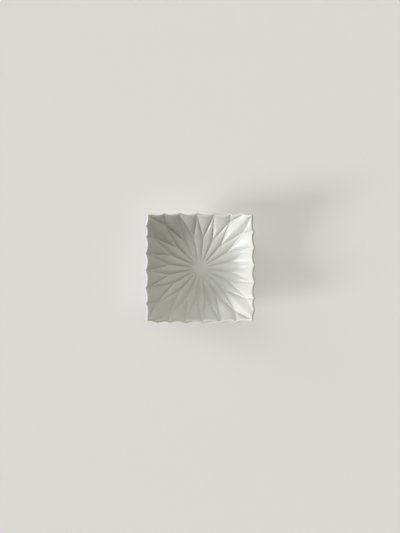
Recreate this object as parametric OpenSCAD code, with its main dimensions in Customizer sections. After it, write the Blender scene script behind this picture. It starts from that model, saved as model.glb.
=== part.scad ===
// Small square condiment dish, one pressed piece of white opal glass.
// Twenty pillow-shaped petals turn a little around the middle of a shallow bowl.
// A second row of petals stands between their tips and is cut off by the rim, and
// in each corner one of them shows whole, as a leaf with a narrow wedge on each side.
// The petals meet in sharp valleys, and the valleys push the rim out into points.
// The rim is lowest at the middles of its sides and climbs to its four corners.
// The dish is centred on the z axis and stands on the plane z = 0.

/* [Overall] */
// Width of the square across its rim
dish_w = 88; // [70:1:120]
// Height from the table to the top of the rim's corners
dish_h = 31; // [26:0.5:36]
// Height of the corners above the middles of the sides
corner_rise = 11.5; // [4:0.5:14]
// Share of the width by which the corners are drawn in, so that the sides bow outward
corner_draw_share = 0.05; // [0:0.005:0.08]

/* [Glass] */
// Thickness of the wall, and width of the rounded lip
wall_t = 2.2; // [1.6:0.1:2.8]
// Thickness under the middle of the bowl
floor_t = 2.8; // [2.2:0.1:4]

/* [Bowl] */
// Angle of the wall to the table where it reaches the middle of a side
wall_angle = 60; // [50:1:64]
// Radius that rounds the corners of the rim, seen from above
corner_r = 2.7; // [0.5:0.1:4]

/* [Petals] */
// Petals of each row along one side of the square
side_petals = 5; // [4:1:6]
// Turn of the whole pattern against the square, in degrees
twist = 2.9; // [0:0.1:4]
// Slope at which a petal climbs out of its valley
petal_flank = 1.9; // [0.8:0.05:2.2]
// Share by which the petals stand lower at the rim
petal_drop_share = 0.45; // [0.2:0.05:0.6]
// Widest place of the inner petals, as a share of the bowl's half width
shoulder_share = 0.61; // [0.56:0.01:0.68]
// Tips of the inner petals, which end on the rim where they would pass it
tip_share = 1.065; // [1.03:0.005:1.1]
// Tips of the second row, most of them beyond the rim
leaf_share = 1.41; // [1.36:0.01:1.6]
// Place along the side where the corner leaf's second edge meets the rim
leaf_rim_share = 0.8; // [0.76:0.01:0.88]
// Radius inside which the petals fade out, as a share of the bowl's half width
fade_share = 0.2; // [0.1:0.01:0.4]

/* [Foot] */
// Outer diameter of the foot ring
foot_d = 38; // [30:1:46]
// Width of the ring's standing face
foot_w = 2.4; // [1.6:0.1:4]
// Height of the foot under the middle of the dish
foot_h = 1.4; // [0.8:0.1:2.4]

/* [Hidden] */

// Petals of each row all the way round, and the angle between two of them
sides = 4;
petals = sides * side_petals;
petal_angle = 360 / petals;
// With an odd count, this petal of each side stands in the corner
leaf_place = (side_petals - 1) / 2;

// The lip is a half round across the wall's end, so its top and its outermost
// point fix where the wall ends inside, at the middle of a side
lip_r = wall_t / 2;
bowl_half = dish_w / 2 - lip_r * (1 + sin(wall_angle));
rim_z = dish_h - corner_rise - lip_r * (1 - cos(wall_angle));
bowl_z = foot_h + floor_t;
bowl_depth = rim_z - bowl_z;

// Power of the bowl's profile that meets the rim at the wall's angle
profile_power = tan(wall_angle) * bowl_half / bowl_depth;
// Slope that the rise of the corners adds along the diagonals
corner_slope = sqrt(8) * corner_rise / bowl_half;
// How fast the direction away from the middle turns square to the nearest side
square_turn = 5;

// Part of a rounding that lies between its arc and the corner
corner_gap_share = 1 - sqrt(1 / 2);
// Power that keeps the corner rounding at the corner
corner_power = 24;
// Tips that would end this close inside the rim lie on it
near_share = 0.03;
// The outer face follows the wavy rim down to this share of the half width
wave_share = 0.7;

// Steps along each edge of a tile, and along the half round of the lip
steps = 7;
lip_steps = 4;
// Rows of the outer face from the lip to the middle, as shares of the half width
outer_shares = [0.93, 0.86, 0.78, 0.67, 0.55, 0.43];
// Points are rounded to this grid, so that neighbours share them exactly
grid = 0.0001;

// Foot ring: rounding of its standing edges and depth that it reaches into the glass
foot_round = 0.4;
foot_embed = 0.9;

function polar(r, angle) = r * [cos(angle), sin(angle)];

// Plan of the pattern, in a square that reaches from -1 to 1 each way
function rim_reach(angle) = 1 / max(abs(cos(angle)), abs(sin(angle)));
function tip_angle(k) = twist + k * petal_angle;
function shoulder_angle(k) = twist + (k + 1 / 2) * petal_angle;
function on_rim(k) = rim_reach(tip_angle(k)) < tip_share + near_share;
function tip(k) = polar(on_rim(k) ? rim_reach(tip_angle(k)) : tip_share, tip_angle(k));
function shoulder(k) = polar(shoulder_share, shoulder_angle(k));

// Where the line through a and b meets the line through c and d
function cross_2d(a, b) = a.x * b.y - a.y * b.x;
function meet(a, b, c, d) = a + (b - a) * cross_2d(c - a, d - c) / cross_2d(b - a, d - c);
// Where the line from a through b leaves the square
function leave(a, b) = let (d = b - a) a + d * min([for (i = [0, 1]) (sign(d[i]) - a[i]) / d[i]]);

// Tip of petal k of the second row. A leaf in a corner has one edge that runs to the
// corner itself and one that meets the rim beside it
function quarter_turn(v, c) = let (s = sin(90 * c), t = cos(90 * c))
    [v.x * t - v.y * s, v.x * s + v.y * t];
function leaf_tip(k, c) =
    meet(tip(k), quarter_turn([1, 1], c), tip(k + 1), quarter_turn([leaf_rim_share, 1], c));
function leaf_end(k) = k % side_petals == leaf_place
    ? leaf_tip(k, floor(k / side_petals))
    : polar(leaf_share, shoulder_angle(k));

// Four corners of each kind of petal: inner, second row, and a narrow wedge outside a tip
function inner_petal(k) = [[0, 0], shoulder(k - 1), tip(k), shoulder(k)];
function outer_petal(k) = [shoulder(k), tip(k), leaf_end(k), tip(k + 1)];
function wedge(k) = [tip(k), leaf_end(k - 1), polar(leaf_share + tip_share, tip_angle(k)), leaf_end(k)];

// Where the petals beside tip k end on the rim, before and after the tip
function rim_before(k) = on_rim(k) ? tip(k) : leave(tip(k), leaf_end(k - 1));
function rim_after(k) = on_rim(k) ? tip(k) : leave(tip(k), leaf_end(k));

// Points of the rim from a to b, with the corner where they lie on two sides
function near(a, b) = abs(a - b) < grid;
function on_side(a, b, i) = near(a[i], b[i]) && near(abs(a[i]), 1);
function corner_between(a, b) = [sign(a.x + b.x), sign(a.y + b.y)];
function rim_points(a, b) = on_side(a, b, 0) || on_side(a, b, 1) ? [a, b] : [a, corner_between(a, b), b];
function wedge_points(k) = on_rim(k) ? [] : rim_points(rim_before(k), rim_after(k));
function petal_points(k) = rim_points(rim_after(k), rim_before(k + 1));

// Tiles of the bowl: three corners, counter-clockwise, and the petal that they lie on
function fan(apex, points, petal) = [
    for (i = [1 : 1 : len(points) - 1])
        let (a = points[i - 1], b = points[i])
            if (!near(cross_2d(a - apex, b - apex), 0)) [apex, a, b, petal]
];
tiles = [
    for (k = [0 : petals - 1])
        each [
            [[0, 0], shoulder(k - 1), shoulder(k), inner_petal(k)],
            [tip(k), shoulder(k), shoulder(k - 1), inner_petal(k)],
            [shoulder(k), tip(k), tip(k + 1), outer_petal(k)],
            each fan(tip(k), wedge_points(k), wedge(k)),
            each fan(tip(k), [each petal_points(k), tip(k + 1)], outer_petal(k))
        ]
];

// Straight runs of the rim, counter-clockwise, with the petal that each one cuts
function runs(points, petal) = [for (i = [1 : 1 : len(points) - 1]) [points[i - 1], points[i], petal]];
rim_runs = [
    for (k = [0 : petals - 1])
        each [each runs(wedge_points(k), wedge(k)), each runs(petal_points(k), outer_petal(k))]
];
rim = [
    for (run = rim_runs, i = [0 : steps - 1])
        [run[0] + (run[1] - run[0]) * i / steps, run[2]]
];

// Height of a petal above its valleys: it climbs at the flank's slope beside each of
// its four edges and rounds over between them, and it fades out in the middle
function edge_gap(p, a, b) = abs(cross_2d(b - a, p - a)) / norm(b - a) * bowl_half;
function resistance(p, petal) = [
    for (i = [0 : 3])
        let (gap = edge_gap(p, petal[i], petal[(i + 1) % 4]))
            gap < grid ? 1 / grid : 1 / (gap * petal_flank)
];
function sum(v) = v * [for (i = v) 1];
function fade(p) = let (r2 = p * p) r2 / (r2 + fade_share * fade_share);
function drop(p) = 1 - petal_drop_share * pow(level(p), 2);
function raised(p, petal) = fade(p) * drop(p) / sum(resistance(p, petal));

// Level of a point in the bowl: 0 in the middle, 1 all along the square
function level(p) = sqrt(p * p - pow(p.x * p.y, 2));
// Rise towards the corners: 0 at the middles of the sides, 1 in the corners
function cornering(p) = pow(p.x * p.y, 2);

// Direction away from the middle, which turns square to the side towards the rim
function signed_power(v, s) = sign(v) * pow(abs(v), s);
function outward(p) = let (s = 1 + square_turn * (p * p), v = [signed_power(p.x, s), signed_power(p.y, s)])
    norm(v) == 0 ? [0, 0] : v / norm(v);

// The bowl's smooth face, on which the valleys lie
function plan(p) = p * bowl_half * (1 - corner_draw_share * cornering(p))
    - p * corner_r * corner_gap_share * pow(abs(p.x * p.y), corner_power);
function bowl_height(p) = bowl_z + bowl_depth * pow(level(p), profile_power) + corner_rise * cornering(p);
function wall_slope(p) = tan(wall_angle) * pow(level(p), profile_power - 1)
    + corner_slope * pow(abs(p.x * p.y), 3 / 2);
function wall_tilt(p) = atan(wall_slope(p));
function on_grid(v) = [for (c = v) round(c / grid) * grid];
function along(p, flat, up) = on_grid([each (plan(p) + outward(p) * flat), bowl_height(p) + up]);

// Petals rise straight up in the middle and level with the rim at the rim
function inside(p, petal) = let (rise = raised(p, petal), lean = 90 * pow(level(p), 2))
    along(p, -rise * sin(lean), rise * cos(lean));

// Half round of the lip, from the inner face over the top to the outer face
function lip(p, petal, i) = let (turn = 90 + wall_angle - 180 * i / lip_steps)
    along(
        p,
        lip_r * (sin(wall_angle) + cos(turn)) - raised(p, petal),
        lip_r * (sin(turn) - cos(wall_angle))
    );

// Outer face, a wall's thickness below the bowl, with the rim's waves at its top
function thickness(p) = wall_t + (floor_t - wall_t) * (1 - pow(level(p), 2));
function outside(p, petal, share) = let (
        q = p * share,
        t = thickness(q),
        wave = pow(max(0, share - wave_share) / (1 - wave_share), 2)
    )
    along(q, t * sin(wall_tilt(q)) - wave * raised(p, petal), -t * cos(wall_tilt(q)));

// A tile's points, row by row from its first corner, and its triangles
function tile_points(t) = [
    for (i = [0 : steps], j = [0 : i])
        inside(t[0] + (t[1] - t[0]) * i / steps + (t[2] - t[1]) * j / steps, t[3])
];
function row_start(i) = i * (i + 1) / 2;
function tile_faces(start) = [
    for (i = [0 : steps - 1], j = [0 : i])
        let (a = start + row_start(i) + j, b = start + row_start(i + 1) + j)
            each j < i ? [[a, b + 1, b], [a, a + 1, b + 1]] : [[a, b + 1, b]]
];

module bowl_shell() {
    tile_size = row_start(steps + 1);
    columns = len(rim);
    rows = lip_steps + 1 + len(outer_shares);
    band = len(tiles) * tile_size;
    middle = band + columns * rows;
    points = concat(
        [for (t = tiles) each tile_points(t)],
        [for (r = rim, i = [0 : lip_steps]) lip(r[0], r[1], i)],
        [for (r = rim, s = outer_shares) outside(r[0], r[1], s)],
        [along([0, 0], 0, -floor_t)]
    );
    function at(c, i) = i <= lip_steps
        ? band + (c % columns) * (lip_steps + 1) + i
        : band + columns * (lip_steps + 1) + (c % columns) * len(outer_shares) + i - lip_steps - 1;
    faces = concat(
        [for (i = [0 : len(tiles) - 1]) each tile_faces(i * tile_size)],
        [
            for (c = [0 : columns - 1], i = [0 : rows - 2])
                each [
                    [at(c, i), at(c + 1, i), at(c + 1, i + 1)],
                    [at(c, i), at(c + 1, i + 1), at(c, i + 1)]
                ]
        ],
        [for (c = [0 : columns - 1]) [at(c, rows - 1), at(c + 1, rows - 1), middle]]
    );
    polyhedron(points, faces, convexity = 6);
}

// Low ring that the dish stands on, with its standing edges rounded
module foot_ring() {
    foot_r = foot_d / 2;
    top = bowl_height([foot_r / bowl_half, 0]) - floor_t + foot_embed;
    rotate_extrude($fn = 96)
        union() {
            translate([foot_r - foot_w, foot_round])
                square([foot_w, top - foot_round]);
            translate([foot_r - foot_w + foot_round, 0])
                square([foot_w - 2 * foot_round, top]);
            for (x = [foot_r - foot_w + foot_round, foot_r - foot_round])
                translate([x, foot_round])
                    circle(foot_round, $fn = 24);
        }
}

module dish() {
    color([0.93, 0.94, 0.92])
        union() {
            bowl_shell();
            foot_ring();
        }
}

dish();
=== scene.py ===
"""Small square dish of white opal glass with a relief of pillow-shaped petals.

The skin is computed in millimetres from the same rules as the CAD model, with finer
facets, and then scaled to metres. Its valleys are slightly rounded, its petals fade out
a little sooner in the middle of the bowl, and its foot ring has small fillets. Points
of the plan are complex numbers, in a square that reaches from -1 to 1 each way.
"""
import math

import bpy
import numpy as np
from mathutils import Euler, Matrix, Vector


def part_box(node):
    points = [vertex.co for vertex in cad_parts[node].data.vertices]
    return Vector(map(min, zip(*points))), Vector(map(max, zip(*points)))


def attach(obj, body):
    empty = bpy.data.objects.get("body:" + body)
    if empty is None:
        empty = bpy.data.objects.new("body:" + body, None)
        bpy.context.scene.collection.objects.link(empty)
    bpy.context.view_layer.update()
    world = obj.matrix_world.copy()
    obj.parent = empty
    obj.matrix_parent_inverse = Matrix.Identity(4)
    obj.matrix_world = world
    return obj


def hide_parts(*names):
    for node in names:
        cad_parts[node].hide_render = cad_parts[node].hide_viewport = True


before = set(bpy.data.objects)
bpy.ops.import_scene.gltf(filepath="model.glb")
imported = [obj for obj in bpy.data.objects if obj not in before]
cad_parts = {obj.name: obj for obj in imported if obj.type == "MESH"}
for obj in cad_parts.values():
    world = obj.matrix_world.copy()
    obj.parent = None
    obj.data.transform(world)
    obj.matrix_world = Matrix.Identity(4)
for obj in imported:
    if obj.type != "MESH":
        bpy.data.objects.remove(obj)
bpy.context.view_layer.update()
MM = 0.001

# Overall sizes, from the frame. The fine skin stays INSET below the top of the CAD box
INSET = 0.02
LOW, HIGH = (Vector(corner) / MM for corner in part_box("dish"))
DISH_W = HIGH.x - LOW.x
DISH_H = HIGH.z - INSET
# Height of the corners above the middles of the sides
CORNER_RISE = 11.5
# Share of the width by which the corners are drawn in, so that the sides bow outward
CORNER_DRAW_SHARE = 0.05

# Thickness of the wall, which is also the width of the rounded lip
WALL_T = 2.2
# Thickness under the middle of the bowl
FLOOR_T = 2.8

# Angle of the wall to the table where it reaches the middle of a side
WALL_ANGLE = math.radians(60)
# Radius that rounds the corners of the rim, and the power that keeps it at the corner
CORNER_R = 2.7
CORNER_POWER = 24
# How fast the direction away from the middle turns square to the nearest side
SQUARE_TURN = 5

# Petals of each row along one side of the square, and all the way round
SIDES = 4
SIDE_PETALS = 5
PETALS = SIDES * SIDE_PETALS
SIDE_ANGLE = 360 / SIDES
PETAL_ANGLE = 360 / PETALS
# Turn of the whole pattern against the square, in degrees
TWIST = 2.9
# Slope at which a petal climbs out of its valley, and the valley's rounding
PETAL_FLANK = 1.9
VALLEY_R = 0.15
# Share by which the petals stand lower at the rim
PETAL_DROP_SHARE = 0.45
# Widest place of the inner petals, as a share of the bowl's half width
SHOULDER_SHARE = 0.61
# Tips of the inner petals, which end on the rim where they would come this near to it
TIP_SHARE = 1.065
NEAR_SHARE = 0.03
# Tips of the second row, most of them beyond the rim
LEAF_SHARE = 1.41
# Place along the side where the corner leaf's second edge meets the rim
LEAF_RIM_SHARE = 0.8
# Radii inside which the petals fade out, and inside which little of them is left
FADE_SHARE = 0.2
MIDDLE_SHARE = 0.15
# The outer face follows the wavy rim down to this share of the half width
WAVE_SHARE = 0.7

# Foot ring: its radius, the width of its standing face and its height under the glass
FOOT_R = 19.0
FOOT_W = 2.4
FOOT_H = 1.4
# Fillets where it meets the glass, and rounding of its standing edges
FOOT_FILLET = 0.9
FOOT_ROUND = 0.4
FOOT_INNER_R = FOOT_R - FOOT_W

# Steps of the mesh along a tile's edge, over the lip, down the wall and along an arc
TILE_STEPS = 32
LIP_STEPS = 12
WALL_STEPS = 28
ARC_STEPS = 5
# Gaps in the plan that count as none, and the distance within which points are one
TINY = 1e-5
WELD_MM = 1e-4

# The lip is a half round across the wall's end, so its top and its outermost point
# fix where the wall ends inside, at the middle of a side
LIP_R = WALL_T / 2
BOWL_HALF = DISH_W / 2 - LIP_R * (1 + math.sin(WALL_ANGLE))
SIDE_H = DISH_H - CORNER_RISE
RIM_Z = SIDE_H - LIP_R * (1 - math.cos(WALL_ANGLE))
BOWL_Z = FOOT_H + FLOOR_T
BOWL_DEPTH = RIM_Z - BOWL_Z
# Power of the bowl's profile that meets the rim at the wall's angle
PROFILE_POWER = math.tan(WALL_ANGLE) * BOWL_HALF / BOWL_DEPTH
# Slope that the rise of the corners adds along the diagonals
CORNER_SLOPE = math.sqrt(8) * CORNER_RISE / BOWL_HALF
# Part of a rounding that lies between its arc and the corner
CORNER_GAP_SHARE = 1 - math.sqrt(1 / 2)


# Plan of the pattern

def polar(radius, degrees):
    return radius * complex(math.cos(math.radians(degrees)), math.sin(math.radians(degrees)))


def cross(a, b):
    return (np.conj(a) * b).imag


def rim_reach(degrees):
    """Distance from the middle to the square's edge."""
    angle = math.radians(degrees)
    return 1 / max(abs(math.cos(angle)), abs(math.sin(angle)))


def tip_angle(k):
    return TWIST + k * PETAL_ANGLE


def shoulder_angle(k):
    return TWIST + (k + 0.5) * PETAL_ANGLE


def on_rim(k):
    return rim_reach(tip_angle(k)) < TIP_SHARE + NEAR_SHARE


def shoulder(k):
    """Widest place of the inner petals, between petals k and k + 1."""
    return polar(SHOULDER_SHARE, shoulder_angle(k))


def tip(k):
    """Tip of inner petal k, on the rim where it comes near it."""
    return polar(rim_reach(tip_angle(k)) if on_rim(k) else TIP_SHARE, tip_angle(k))


def meet(a, b, c, d):
    """Where the line through a and b meets the line through c and d."""
    return a + (b - a) * cross(c - a, d - c) / cross(b - a, d - c)


def leaf_end(k):
    """Tip of outer petal k. In a corner, one edge runs to the corner itself."""
    side, place = divmod(k, SIDE_PETALS)
    if place == SIDE_PETALS // 2:
        turn = polar(1, SIDE_ANGLE * side)
        return meet(tip(k), (1 + 1j) * turn, tip(k + 1), (LEAF_RIM_SHARE + 1j) * turn)
    return polar(LEAF_SHARE, shoulder_angle(k))


def leave(a, b):
    """Where the line from a through b leaves the square."""
    d = b - a
    parts = ((d.real, a.real), (d.imag, a.imag))
    return a + d * min((math.copysign(1, part) - at) / part for part, at in parts)


def leaving(k, side):
    """Where the edge of tip k on this side, -1 or 1, meets the rim."""
    return tip(k) if on_rim(k) else leave(tip(k), leaf_end(k if side > 0 else k - 1))


def on_side(u, v):
    """Whether two points with these coordinates along one axis share a side of the square."""
    return abs(u - v) < TINY and abs(abs(u) - 1) < TINY


def through_corner(a, b):
    """Points of the rim from a to b, with the corner between them if they lie on two sides."""
    if on_side(a.real, b.real) or on_side(a.imag, b.imag):
        return [a, b]
    middle = a + b
    return [a, complex(math.copysign(1, middle.real), math.copysign(1, middle.imag)), b]


def inner_petal(k):
    return [0j, shoulder(k - 1), tip(k), shoulder(k)]


def outer_petal(k):
    return [shoulder(k), tip(k), leaf_end(k), tip(k + 1)]


def wedge(k):
    """Narrow petal of a third row, outside tip k."""
    return [tip(k), leaf_end(k - 1), polar(LEAF_SHARE + TIP_SHARE, tip_angle(k)), leaf_end(k)]


def wedge_rim(k):
    """Points of the rim across the wedge outside tip k."""
    return [] if on_rim(k) else through_corner(leaving(k, -1), leaving(k, 1))


def petal_rim(k):
    """Points of the rim across outer petal k."""
    return through_corner(leaving(k, 1), leaving(k + 1, -1))


def rim_runs():
    """Straight runs of the rim, counter-clockwise: start, end and the petal that they cut."""
    runs = []
    for k in range(PETALS):
        for points, petal in ((wedge_rim(k), wedge(k)), (petal_rim(k), outer_petal(k))):
            runs += [(a, b, petal) for a, b in zip(points, points[1:])]
    return runs


def fan(apex, points, petal):
    """Triangles from one apex to each run of points, without those that have no area."""
    pairs = zip(points, points[1:])
    return [(apex, a, b, petal) for a, b in pairs if abs(cross(a - apex, b - apex)) > TINY]


def tiles():
    """Triangles of the plan, counter-clockwise, each with the petal that it lies on."""
    found = []
    for k in range(PETALS):
        found.append((0j, shoulder(k - 1), shoulder(k), inner_petal(k)))
        found.append((tip(k), shoulder(k), shoulder(k - 1), inner_petal(k)))
        found.append((shoulder(k), tip(k), tip(k + 1), outer_petal(k)))
        found += fan(tip(k), wedge_rim(k), wedge(k))
        found += fan(tip(k), petal_rim(k) + [tip(k + 1)], outer_petal(k))
    return found


# Heights

def level(p):
    """0 in the middle of the bowl, 1 all along the square."""
    return np.sqrt(np.abs(p) ** 2 - (p.real * p.imag) ** 2)


def cornering(p):
    """0 at the middles of the sides, 1 in the corners."""
    return (p.real * p.imag) ** 2


def signed_power(v, power):
    return np.sign(v) * np.abs(v) ** power


def outward(p):
    """Direction away from the middle, which turns square towards the rim."""
    power = 1 + SQUARE_TURN * np.abs(p) ** 2
    v = signed_power(p.real, power) + 1j * signed_power(p.imag, power)
    size = np.abs(v)
    return v / np.where(size == 0, 1, size)


def plan(p):
    """Place on the bowl's smooth face in mm, seen from above."""
    corner_gap = CORNER_R * CORNER_GAP_SHARE * np.abs(p.real * p.imag) ** CORNER_POWER
    return p * (BOWL_HALF * (1 - CORNER_DRAW_SHARE * cornering(p)) - corner_gap)


def bowl_height(p):
    return BOWL_Z + BOWL_DEPTH * level(p) ** PROFILE_POWER + CORNER_RISE * cornering(p)


def wall_tilt(p):
    """Angle of the smooth face to the table, from the bowl's profile and the rise of the corners."""
    slope = math.tan(WALL_ANGLE) * level(p) ** (PROFILE_POWER - 1)
    return np.arctan(slope + CORNER_SLOPE * np.abs(p.real * p.imag) ** (3 / 2))


def fade(p):
    """0 in the middle of the bowl, where the petals run out, and close to 1 outside it."""
    square = np.abs(p) ** 2
    return square / (square + FADE_SHARE ** 2) * square ** 2 / (square ** 2 + MIDDLE_SHARE ** 4)


def raised(p, petal):
    """Height above the valleys: steep beside each edge of the petal, rounded between them."""
    corners = petal.shape[-1]
    resistance = 0
    for i in range(corners):
        a, b = petal[..., i], petal[..., (i + 1) % corners]
        gap = np.abs(cross(b - a, p - a)) / np.abs(b - a) * BOWL_HALF
        gap = np.hypot(gap, VALLEY_R) - VALLEY_R
        resistance = resistance + 1 / np.maximum(gap * PETAL_FLANK, TINY)
    return fade(p) * (1 - PETAL_DROP_SHARE * level(p) ** 2) / resistance


def along(p, flat, up):
    """Points in mm: the bowl's smooth face at p, moved outward by flat and up."""
    at = plan(p) + outward(p) * flat
    return np.stack([at.real, at.imag, bowl_height(p) + up], -1)


def inside(p, petal):
    """The relief: petals rise straight up in the middle and level with the rim at the rim."""
    rise = raised(p, petal)
    lean = math.pi / 2 * level(p) ** 2
    return along(p, -rise * np.sin(lean), rise * np.cos(lean))


def outside(p, wave):
    """Outer face, a wall's thickness below the bowl, with the rim's waves at its top."""
    thick = WALL_T + (FLOOR_T - WALL_T) * (1 - level(p) ** 2)
    waves = np.clip((level(p) - WAVE_SHARE) / (1 - WAVE_SHARE), 0, 1) ** 2 * wave
    return along(p, thick * np.sin(wall_tilt(p)) - waves, -thick * np.cos(wall_tilt(p)))


# Mesh

def tile_triangles():
    """Triangles of one tile, whose points are counted row by row from its first corner."""
    faces = []
    for i in range(TILE_STEPS):
        for j in range(i + 1):
            here = i * (i + 1) // 2 + j
            below = (i + 1) * (i + 2) // 2 + j
            faces.append((here, below, below + 1))
            if j < i:
                faces.append((here, below + 1, here + 1))
    return np.array(faces)


def tile_skin():
    """Points and triangles of the bowl."""
    found = tiles()
    a, b, c = (np.array([tile[i] for tile in found])[:, None] for i in range(3))
    petal = np.array([tile[3] for tile in found])[:, None]
    row, place = np.tril_indices(TILE_STEPS + 1)
    points = inside(a + (b - a) * (row / TILE_STEPS) + (c - b) * (place / TILE_STEPS), petal)
    starts = np.arange(len(found))[:, None, None] * len(row)
    return points.reshape(-1, 3), (tile_triangles() + starts).reshape(-1, 3)


def rim_points():
    """Points all along the rim, counter-clockwise, each with the petal that the rim cuts there."""
    runs = rim_runs()
    share = np.arange(TILE_STEPS) / TILE_STEPS
    points = np.concatenate([a + (b - a) * share for a, b, _ in runs])
    petals = np.concatenate([np.repeat([petal], TILE_STEPS, 0) for _, _, petal in runs])
    return points, petals


def lip_rows(p, wave):
    """Half round of the lip, from the bowl over the top to the outer face."""
    rows = []
    for turn in math.pi / 2 + WALL_ANGLE - math.pi * np.arange(LIP_STEPS + 1) / LIP_STEPS:
        flat = LIP_R * (math.sin(WALL_ANGLE) + math.cos(turn))
        rows.append(along(p, flat - wave, LIP_R * (math.sin(turn) - math.cos(WALL_ANGLE))))
    return rows


def arc(centre, start, end):
    """Section of a standing edge of the foot: distances in mm from the middle and the table."""
    turns = np.radians(np.linspace(start, end, ARC_STEPS + 1))
    return [(centre + FOOT_ROUND * math.cos(t), FOOT_ROUND + FOOT_ROUND * math.sin(t)) for t in turns]


def ring(around, radius, z):
    """One row of points in mm, in these directions from the middle."""
    at = around * radius
    return np.stack([at.real, at.imag, np.broadcast_to(z, at.shape)], -1)


def foot_rows(around, wall_end, recess):
    """The foot ring, from the end of the wall to the recess, with a fillet at each of them."""
    wall_r, recess_r = (np.hypot(row[:, 0], row[:, 1]) for row in (wall_end, recess))
    wall_z, recess_z = wall_end[:, 2], recess[:, 2]
    rows = []
    for t in np.linspace(0, math.pi / 2, ARC_STEPS + 1)[1:]:
        r = wall_r - (wall_r - FOOT_R) * math.sin(t)
        rows.append(ring(around, r, wall_z - FOOT_FILLET * (1 - math.cos(t))))
    for r, z in arc(FOOT_R - FOOT_ROUND, 0, -90) + arc(FOOT_INNER_R + FOOT_ROUND, -90, -180):
        rows.append(ring(around, r, z))
    for t in np.linspace(0, math.pi / 2, ARC_STEPS + 1):
        r = FOOT_INNER_R - (FOOT_INNER_R - recess_r) * (1 - math.cos(t))
        rows.append(ring(around, r, recess_z - FOOT_FILLET * (1 - math.sin(t))))
    return rows


def band_rows():
    """Closed rows of points, from the rim over the lip and down the outside to the recess."""
    p, petals = rim_points()
    wave = raised(p, petals)
    around = p / np.abs(p)
    foot = around * (FOOT_R + FOOT_FILLET) / BOWL_HALF
    recess = around * (FOOT_INNER_R - FOOT_FILLET) / BOWL_HALF
    rows = lip_rows(p, wave)
    for share in np.arange(1, WALL_STEPS + 1) / WALL_STEPS:
        rows.append(outside(p + (foot - p) * share, wave))
    rows += foot_rows(around, rows[-1], outside(recess, wave))
    for share in np.linspace(1, 0, ARC_STEPS + 1)[1:-1]:
        rows.append(outside(recess * share, wave))
    return rows


def band_skin():
    """Points and triangles of the lip, the outer face and the foot, closed at the middle."""
    rows = band_rows()
    columns = len(rows[0])
    points = np.concatenate(rows + [outside(np.array([0j]), 0)])
    here = np.arange(columns)
    after = (here + 1) % columns
    faces = []
    for i in range(len(rows) - 1):
        a, b = i * columns, (i + 1) * columns
        faces.append(np.stack([a + here, b + here, b + after], 1))
        faces.append(np.stack([a + here, b + after, a + after], 1))
    last = (len(rows) - 1) * columns
    faces.append(np.stack([last + here, np.full(columns, len(points) - 1), last + after], 1))
    return points, np.concatenate(faces)


def weld(parts):
    """One mesh of all parts, in which points at the same place are one."""
    points = np.concatenate([p for p, _ in parts])
    starts = np.cumsum([0] + [len(p) for p, _ in parts[:-1]])
    faces = np.concatenate([f + start for (_, f), start in zip(parts, starts)])
    places = np.round(points / WELD_MM).astype(np.int64)
    _, first, same = np.unique(places, axis=0, return_index=True, return_inverse=True)
    faces = same.reshape(-1)[faces]
    a, b, c = faces.T
    return points[first], faces[(a != b) & (b != c) & (c != a)]


def add(name, data):
    """Puts a new object into the scene."""
    obj = bpy.data.objects.new(name, data)
    bpy.context.scene.collection.objects.link(obj)
    return obj


def make_dish():
    points, faces = weld([tile_skin(), band_skin()])
    mesh = bpy.data.meshes.new("dish_skin")
    mesh.from_pydata((points * MM).tolist(), [], faces.tolist())
    mesh.validate()
    mesh.polygons.foreach_set("use_smooth", [True] * len(mesh.polygons))
    mesh.materials.append(opal_glass())
    obj = add("dish_skin", mesh)
    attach(obj, "root")
    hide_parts("dish")


# Material of the dish. Scales of the noise are per metre, and depths are in metres.
# Soft clouds of two tints, and the range of the noise over which one turns into the other
TINTS = ((0.588, 0.592, 0.570, 1), (0.612, 0.616, 0.593, 1))
CLOUD_SCALE = 60
CLOUD_RANGE = (0.3, 0.7)
# Patches of a satin finish, between two roughnesses
SATIN_SCALE = 220
SATIN_MIN = 0.33
SATIN_MAX = 0.43
PATCH_DETAIL = 3
# Fine grain and slow ripple of the surface
GRAIN_SCALE = 1500
GRAIN_DETAIL = 4
GRAIN_STRENGTH = 0.25
GRAIN_DEPTH = 0.00006
RIPPLE_SCALE = 140
RIPPLE_DETAIL = 1
RIPPLE_STRENGTH = 0.3
RIPPLE_DEPTH = 0.0003
GLASS_IOR = 1.5


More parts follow.
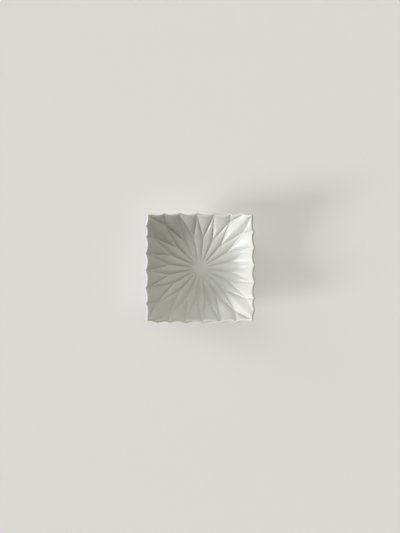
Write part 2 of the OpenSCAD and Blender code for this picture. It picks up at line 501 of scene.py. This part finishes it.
def opal_glass():
    mat = bpy.data.materials.new("opal_glass")
    mat.use_nodes = True
    nodes, links = mat.node_tree.nodes, mat.node_tree.links
    shader = nodes["Principled BSDF"]
    shader.inputs["IOR"].default_value = GLASS_IOR
    place = nodes.new("ShaderNodeTexCoord")

    def noise(scale, detail=PATCH_DETAIL):
        node = nodes.new("ShaderNodeTexNoise")
        node.inputs["Scale"].default_value = scale
        node.inputs["Detail"].default_value = detail
        links.new(place.outputs["Object"], node.inputs["Vector"])
        return node.outputs["Fac"]

    def bump(height, strength, depth):
        node = nodes.new("ShaderNodeBump")
        node.inputs["Strength"].default_value = strength
        node.inputs["Distance"].default_value = depth
        links.new(height, node.inputs["Height"])
        return node

    tint = nodes.new("ShaderNodeValToRGB")
    for element, position, colour in zip(tint.color_ramp.elements, CLOUD_RANGE, TINTS):
        element.position = position
        element.color = colour
    links.new(noise(CLOUD_SCALE), tint.inputs["Fac"])
    links.new(tint.outputs["Color"], shader.inputs["Base Color"])

    satin = nodes.new("ShaderNodeMapRange")
    satin.inputs["To Min"].default_value = SATIN_MIN
    satin.inputs["To Max"].default_value = SATIN_MAX
    links.new(noise(SATIN_SCALE), satin.inputs["Value"])
    links.new(satin.outputs["Result"], shader.inputs["Roughness"])

    grain = bump(noise(GRAIN_SCALE, GRAIN_DETAIL), GRAIN_STRENGTH, GRAIN_DEPTH)
    ripple = bump(noise(RIPPLE_SCALE, RIPPLE_DETAIL), RIPPLE_STRENGTH, RIPPLE_DEPTH)
    links.new(grain.outputs["Normal"], ripple.inputs["Normal"])
    links.new(ripple.outputs["Normal"], shader.inputs["Normal"])
    return mat


# The table, wide enough in metres to reach the horizon in low views. Its faint glow is painted light,
# even over the whole table: it stands for the light that the real dish lets through, and keeps the
# dish's shadow soft
FLOOR_HALF = 15.0
FLOOR_COLOUR = (0.520, 0.525, 0.555, 1)
FLOOR_PAINTED_LIGHT = (0.258, 0.248, 0.219, 1)
FLOOR_PAINTED_LIGHT_STRENGTH = 1.0
FLOOR_ROUGHNESS = 0.85
FLOOR_SHEEN = 0.2


def floor_material():
    mat = bpy.data.materials.new("floor")
    mat.use_nodes = True
    shader = mat.node_tree.nodes["Principled BSDF"]
    shader.inputs["Base Color"].default_value = FLOOR_COLOUR
    shader.inputs["Roughness"].default_value = FLOOR_ROUGHNESS
    shader.inputs["Specular IOR Level"].default_value = FLOOR_SHEEN
    # Painted light: the table glows evenly, which lightens the dish's shadow on it
    shader.inputs["Emission Color"].default_value = FLOOR_PAINTED_LIGHT
    shader.inputs["Emission Strength"].default_value = FLOOR_PAINTED_LIGHT_STRENGTH
    return mat


def make_floor():
    mesh = bpy.data.meshes.new("floor")
    corners = [(FLOOR_HALF * x, FLOOR_HALF * y, 0) for x, y in ((-1, -1), (1, -1), (1, 1), (-1, 1))]
    mesh.from_pydata(corners, [], [range(len(corners))])
    mesh.materials.append(floor_material())
    add("floor", mesh)


# A low window on the left, and the soft light of the room. Each light has a name, its
# height above the horizon, its direction from +X towards +Y, how wide it looks, all
# three in degrees, its strength and its tint
LIGHTS = [
    ("window", 17, 200, 16, 2.57, (1.0, 1.0, 1.01)),
    ("window_right", 17, 215, 16, 0.45, (0.99, 1.0, 0.93)),
    ("wall_left", 10, 145, 24, 0.81, (1.01, 1.0, 1.05)),
    ("wall_back", 35, 95, 30, 0.19, (0.95, 1.0, 0.89)),
    ("wall_right", 12, 0, 30, 0.125, (1.2, 1.0, 0.55)),
    ("ceiling_left", 42, 130, 40, 0.53, (0.99, 1.0, 0.94)),
    ("ceiling_right", 60, 40, 50, 0.61, (1.0, 1.0, 0.83)),
    ("ceiling", 88, 180, 10, 0.37, (0.99, 1.0, 0.93)),
]


def make_sun(name, elevation, azimuth, width, energy, colour):
    """A distant soft light."""
    data = bpy.data.lights.new(name, "SUN")
    data.energy = energy
    data.color = colour
    data.angle = math.radians(width)
    obj = add(name, data)
    obj.rotation_euler = (0, math.radians(90 - elevation), math.radians(azimuth))


# The room's pale walls, which end at this sine of the height, and its darker ceiling
WALLS = (0.52, 0.51, 0.485, 1)
CEILING = (0.06, 0.055, 0.045, 1)
WALLS_TOP = 0.3


def make_world():
    world = bpy.data.worlds.new("room")
    bpy.context.scene.world = world
    world.use_nodes = True
    nodes, links = world.node_tree.nodes, world.node_tree.links
    place = nodes.new("ShaderNodeTexCoord")
    height = nodes.new("ShaderNodeSeparateXYZ")
    ramp = nodes.new("ShaderNodeValToRGB")
    ramp.color_ramp.elements[0].color = WALLS
    ramp.color_ramp.elements[1].position = WALLS_TOP
    ramp.color_ramp.elements[1].color = CEILING
    links.new(place.outputs["Generated"], height.inputs["Vector"])
    links.new(height.outputs["Z"], ramp.inputs["Fac"])
    links.new(ramp.outputs["Color"], nodes["Background"].inputs["Color"])


# Camera, almost straight above. The picture is 400 by 533 pixels
FRAME_W, FRAME_H = 400, 533
VIEW_ANGLE = math.radians(53)
# Where the middle of the rim falls in the picture, and how long a millimetre looks there
DISH_PIXEL = (199.95, 267.88)
PIXELS_PER_MM = 1.2665
# Turns about x, y and z away from straight down, in degrees
CAMERA_TURN = (1.72, 0.49, -0.05)
# Nearest distance that the camera sees, in metres
CLIP_START = 0.01


def make_camera():
    """Places the camera so that the middle of the rim falls on DISH_PIXEL."""
    focal = FRAME_W / 2 / math.tan(VIEW_ANGLE / 2)
    turn = Euler([math.radians(a) for a in CAMERA_TURN])
    x, y = DISH_PIXEL
    ray = turn.to_matrix() @ Vector(((x - FRAME_W / 2) / focal, (FRAME_H / 2 - y) / focal, -1))
    data = bpy.data.cameras.new("camera")
    data.sensor_fit = "HORIZONTAL"
    data.angle = VIEW_ANGLE
    data.clip_start = CLIP_START
    camera = add("camera", data)
    camera.location = (Vector((0, 0, SIDE_H)) - ray * focal / PIXELS_PER_MM) * MM
    camera.rotation_euler = turn
    bpy.context.scene.camera = camera


make_dish()
make_floor()
make_world()
for light in LIGHTS:
    make_sun(*light)
make_camera()
bpy.context.scene.view_settings.view_transform = "Standard"
